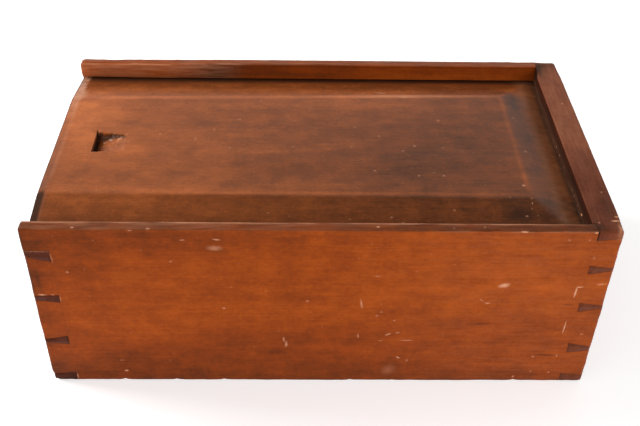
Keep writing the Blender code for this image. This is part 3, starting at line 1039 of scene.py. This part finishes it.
def paint_high_end(piece):
    x, y, z = vertices_mm(piece)
    on_top = smoothstep(z, HEIGHT - 1.0, HEIGHT - 0.2)
    tone = 0.60 - on_top * (0.18 - 0.21 * smoothstep(y, 35, 110) - 0.05 * bump(y, 125, 25))
    tone += (y < 0.6) * (0.17 - 0.09 * bump(x, PIN_BASE, 6))
    inner = (x < RIGHT_IN + 2.9) & (z > LIP_LOW - 3)
    inner_side = inner * smoothstep(z, HEIGHT - 0.3, HEIGHT - 0.9)
    # The inner side above the lid is painted darker, and darker still lower down
    tone -= 0.40 * inner_side
    low_inner = inner * smoothstep(z, HEIGHT - 5.0, HEIGHT - 7.5)
    grime = strongest(
        0.34 * inner_side,
        0.66 * low_inner,
        # painted shade in the inner corner beside the back board
        0.8 * inner * smoothstep(y, 184, 200) * (z < HEIGHT - 0.5),
        0.35 * bump(z, 0.2, 1.5),
        0.45 * on_top * patches(x, y, TOP_STAINS),
    )
    rub = strongest(
        0.9 * smoothstep(x, 376, 379) * smoothstep(y, 12, 3) * smoothstep(z, 135, 140),
        0.20 * bump(x, LENGTH - 0.5, 0.8) * smoothstep(z, 136, 140),
        # dust and a painted sheen on top
        (0.07 + 0.08 * smoothstep(y, 60, 100)) * on_top,
        0.12 * low_inner,
    )
    paint(piece, tone=tone, grime=grime, rub=rub, bare=unfinished(x, y, z))


LID_PATCHES = [
    # lighter and darker stain: x, y, half sizes, amount
    (14, 140, 26, 55, 0.24),
    (60, 110, 50, 60, 0.06),
    (52, 101, 16, 11, 0.14),
    (222, 162, 75, 11, 0.13),
    (250, 178, 34, 5, 0.14),
    (14, 190, 22, 8, -0.20),
    (85, 51, 80, 4, 0.14),
    (40, 41, 34, 5, 0.07),
    (255, 75, 30, 22, -0.14),
    (300, 110, 60, 60, -0.04),
    (160, 75, 34, 14, -0.05),
    (90, 140, 20, 12, -0.05),
    (262, 62, 22, 12, 0.03),
    (340, 162, 5, 14, -0.18),
    (345, 114, 12, 26, -0.09),
    (345, 48, 9, 34, -0.04),
    (322, 36, 9, 9, -0.10),
    (345, 184, 16, 7, 0.16),
    (215, 178, 110, 6, 0.13),
    (60, 192, 70, 6, -0.12),
    (240, 150, 60, 16, 0.07),
    (3, 90, 3, 200, -0.14),
    (60, 36, 60, 9, 0.05),
    (352, 110, 8, 80, 0.05),
    (325, 105, 5, 55, 0.05),
]


def paint_lid(piece):
    x, y, z = vertices_mm(piece)
    # Darker towards the high end: partly the stain, partly painted light, brighter nearer the lamp
    # at the low end
    tone = 0.58 + patches(x, y, LID_PATCHES) - 0.16 * smoothstep(x, 60, 340)
    on_front = smoothstep(y, 47, 44)
    tone -= 0.10 * on_front
    # The ridges where the field meets the bevels are paler: worn, and a painted highlight along
    # them
    ridge_wear_and_highlight = creases(x + 1.6, y + 0.3, 3.4) * smoothstep(y, 47, 60) * smoothstep(x, 5, 40)
    tone += ridge_wear_and_highlight * (0.22 + 0.16 * bump(x, 255, 50) - 0.07 * smoothstep(x, 316, 326))
    tone += 0.14 * bump(y, 47.8, 1.6) * smoothstep(x, 60, 110) * smoothstep(x, 331, 322)
    # Beside the high end board the lid is painted a little paler and greyer: a painted sheen
    beside_wall = smoothstep(x, 344, 352)
    tone += 0.05 * beside_wall
    dust = plan_noise(x, y, (2.5, 5), 71)
    # Beside the high end board the lid darkens: dirt, and painted shade in the gap
    near_wall = smoothstep(x, RIGHT_IN - 3.2 + 1.3 * dust, RIGHT_IN - 0.3)
    in_notch = (x > 27) & (x < 52) & (y > 92) & (y < 124) & (z < FIELD_Z - 0.5)
    deep_in = in_notch * smoothstep(z, FIELD_Z - 1.2, FIELD_Z - 3.5)
    # Inside the thumb notch the lid is painted darker: painted shade, darkest deep by its upright
    # wall and along its torn back side
    tone -= 0.06 * in_notch
    grime = strongest(
        0.45 * smoothstep(y, 26, 9) * smoothstep(x, 60, 150),
        near_wall * (0.75 + 0.2 * smoothstep(y, 150, 60)),
        0.35 * bump(x, 322, 9) * smoothstep(y, 44, 30),
        # painted shadow of the back lip along the lid's back edge
        0.88 * smoothstep(y, 195 - 2.5 * smoothstep(x, 190, 60), 200.5),
        0.8 * smoothstep(x, 1.4, 0.6),
        0.8 * smoothstep(x, 6.5, 4.5) * smoothstep(y, 52, 46),
        # painted shade in the notch: deep by its wall, and along its back side
        0.95 * deep_in * smoothstep(x, 31.5, 29),
        0.85 * in_notch * smoothstep(y, 112, 115),
    )
    from_end = x - 3.0 * bump(y, 171, 8)
    # The worn chamfer at the open end is paler: wear, and a painted reflection of the lamp
    rub = 0.84 * smoothstep(from_end, 8.0, 5.5) * smoothstep(x, 0.8, 1.6) * smoothstep(y, 125, 176)
    # A painted highlight line along the chamfer's inner edge
    rub += 0.32 * bump(x, 6.2, 1.1) * smoothstep(y, 58, 75)
    rub += 0.75 * ridge_wear_and_highlight * bump(x, 252, 36) * smoothstep(y, 150, 165)
    # painted sheen beside the high end board
    rub += 0.20 * beside_wall
    under = (z < LID_LOW.z + 0.2) & (x > 1.2) & (x < LID_HIGH.x - 1.2)
    bare = np.maximum(under, 0.07 * beside_wall * (z > TONGUE_Z - 0.5))
    dull = smoothstep(x, 7.5, 5.5) * smoothstep(y, 172, 150) * (0.4 + 0.8 * smoothstep(y, 56, 46))
    paint(piece, tone=tone, grime=grime, rub=rub, bare=bare, dull=dull)


def iron_material():
    """Dark nail iron with a little rust."""
    shader = Shader("rusted_iron")
    rust = shader.noise((900.0, 900.0, 900.0), 4.0, 0.6)
    stops = [(0.3, (0.018, 0.013, 0.011)), (0.6, (0.060, 0.028, 0.016)), (0.8, (0.12, 0.05, 0.022))]
    shader.put(shader.ramp(rust, stops), shader.surface.inputs["Base Color"])
    shader.put(shader.fade(rust, 0.2, 0.8, 0.45, 0.85), shader.surface.inputs["Roughness"])
    shader.surface.inputs["Metallic"].default_value = 0.7
    shader.bumped(rust, FINE_RELIEF)
    return shader.material


# ---------------- light, floor and camera

# The room is bright up to WALL_TOP and dim from CEILING on, as sines of the angle upward
WALL_TOP, CEILING = 0.62, 0.83
WALL_LIGHT, CEILING_LIGHT = 0.86, 0.08
PAPER_GLOW = 0.45
LENS = 51.39
EYE = (177.15, -435.85, 510.75)  # millimetres from the box's own corner
PITCH, YAW, ROLL = radians(39.138), radians(1.468), radians(1.2615)


def soft_room():
    """Even light from all round, dimmer from overhead than from the sides."""
    world = bpy.data.worlds.new("soft_room")
    bpy.context.scene.world = world
    world.use_nodes = True
    tree = world.node_tree
    where = tree.nodes.new("ShaderNodeTexCoord")
    parts = tree.nodes.new("ShaderNodeSeparateXYZ")
    tree.links.new(where.outputs["Generated"], parts.inputs[0])
    fall = tree.nodes.new("ShaderNodeMapRange")
    fall.interpolation_type = "SMOOTHSTEP"
    for socket, number in zip(fall.inputs[1:5], (WALL_TOP, CEILING, WALL_LIGHT, CEILING_LIGHT)):
        socket.default_value = number
    tree.links.new(parts.outputs["Z"], fall.inputs[0])
    tree.links.new(fall.outputs[0], tree.nodes["Background"].inputs["Strength"])
    tree.nodes["Background"].inputs["Color"].default_value = (1.0, 1.0, 1.0, 1.0)


def lamp(name, at, aim, size, watts):
    """A soft rectangular lamp, which itself can't be seen."""
    light = bpy.data.lights.new(name, "AREA")
    light.shape = "RECTANGLE"
    light.size, light.size_y = size
    light.energy = watts
    made = bpy.data.objects.new(name, light)
    made.location = at
    made.rotation_euler = (Vector(aim) - Vector(at)).to_track_quat("-Z", "Y").to_euler()
    made.visible_camera = False
    bpy.context.scene.collection.objects.link(made)


def paper_floor():
    """White paper, lit from below as well, so that shadows on it stay pale."""
    bm = bmesh.new()
    bmesh.ops.create_grid(bm, x_segments=8, y_segments=8, size=4.0)
    mesh = bpy.data.meshes.new("floor")
    bm.to_mesh(mesh)
    bm.free()
    floor = bpy.data.objects.new("floor", mesh)
    floor.location.z = -0.0002  # clear of the box's underside
    bpy.context.scene.collection.objects.link(floor)
    paper = bpy.data.materials.new("paper")
    paper.use_nodes = True
    surface = paper.node_tree.nodes["Principled BSDF"]
    surface.inputs["Base Color"].default_value = (0.94, 0.94, 0.94, 1.0)
    surface.inputs["Roughness"].default_value = 1.0
    surface.inputs["Specular IOR Level"].default_value = 0.0
    surface.inputs["Emission Color"].default_value = (1.0, 1.0, 1.0, 1.0)
    surface.inputs["Emission Strength"].default_value = PAPER_GLOW
    floor.data.materials.append(paper)


def studio():
    """The room, two lamps and the floor, with colours shown as they are."""
    soft_room()
    lamp("key_back_left", (-0.98, 0.26, 0.75), aim=(0.0, 0.0, 0.1), size=(0.5, 0.5), watts=11.0)
    lamp("fill_front_right", (0.9, -1.2, 0.9), aim=(0.05, 0.0, 0.07), size=(1.0, 0.8), watts=7.0)
    paper_floor()
    bpy.context.scene.view_settings.view_transform = "Standard"


def camera():
    """The lens and viewpoint: above the front edge, looking down and slightly to the right."""
    data = bpy.data.cameras.new("camera")
    data.sensor_width = 36.0
    data.lens = LENS
    forward = Vector((sin(YAW) * cos(PITCH), cos(YAW) * cos(PITCH), -sin(PITCH)))
    level = Vector((cos(YAW), -sin(YAW), 0.0))
    upward = level.cross(forward)
    rightward = cos(ROLL) * level + sin(ROLL) * upward
    up = -sin(ROLL) * level + cos(ROLL) * upward
    eye = bpy.data.objects.new("camera", data)
    turn = Matrix((rightward, up, -forward)).transposed()
    eye.matrix_world = Matrix.Translation(place(*EYE)) @ turn.to_4x4()
    bpy.context.scene.collection.objects.link(eye)
    bpy.context.scene.camera = eye


# ---------------- the box


def dress(piece, material):
    """Gives a piece one material, in place of any that it has."""
    piece.data.materials.clear()
    piece.data.materials.append(material)


front = long_board("front_board", "front_side", -1)
back = long_board("back_board", "back_side", 1)
left = end_board("low_end_board", "left_end", -1)
right = end_board("high_end_board", "right_end", 1)
plank = bottom_board()
lid = sliding_lid()

paint_front(front)
paint_back(back)
paint_low_end(left)
paint_high_end(right)
paint_lid(lid)
paint(plank, tone=0.5, bare=1.0)

front_scars = [(FRONT_SCARS, Y_AXIS, 0.0), (FRONT_TOP_SCARS, Z_AXIS, HEIGHT)]
front_cracks = [(FRONT_CRACKS, Y_AXIS, 0.0, 3, 1.6)]
lid_scars = [(LID_SCARS, Z_AXIS, FIELD_Z, 8)]
lid_cracks = [(LID_CRACKS, Z_AXIS, FIELD_Z, 8)]
high_end_scars = [(HIGH_END_SCARS, X_AXIS, RIGHT_IN), (HIGH_END_TOP_SCARS, Z_AXIS, HEIGHT)]
high_end_dark_lines = [(HIGH_END_DARK_LINES, X_AXIS, RIGHT_IN)]

dress(front, wood(
    "front_wood", X_AXIS, 1, SIDE_COLOURS, specular=0.06, tint=AMBER, rough=0.32, mottled=0.55,
    marked_by=front_scars, darkened_by=front_cracks,
))
dress(back, wood(
    "back_wood", X_AXIS, 2, SIDE_COLOURS, specular=0.12, tint=AMBER, rough=0.32, mottled=0.40,
))
dress(left, wood(
    "low_end_wood", Y_AXIS, 3, END_COLOURS, specular=0.06, tint=RED, rough=0.36, mottled=0.45,
))
dress(right, wood(
    "high_end_wood", Y_AXIS, 4, END_COLOURS, specular=0.06, tint=RED, rough=0.34, mottled=0.55,
    marked_by=high_end_scars, darkened_by=high_end_dark_lines,
))
dress(lid, wood(
    "lid_wood", X_AXIS, 5, LID_COLOURS, specular=0.22, tint=BROWN, rough=0.21, mottled=0.56,
    marked_by=lid_scars, darkened_by=lid_cracks,
))
dress(plank, wood(
    "bottom_wood", X_AXIS, 6, SIDE_COLOURS, specular=0.30, tint=BROWN, rough=0.45, mottled=0.40,
))
iron = iron_material()
for name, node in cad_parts.items():
    if name.startswith("bottom_nail"):
        dress(node, iron)

studio()
camera()
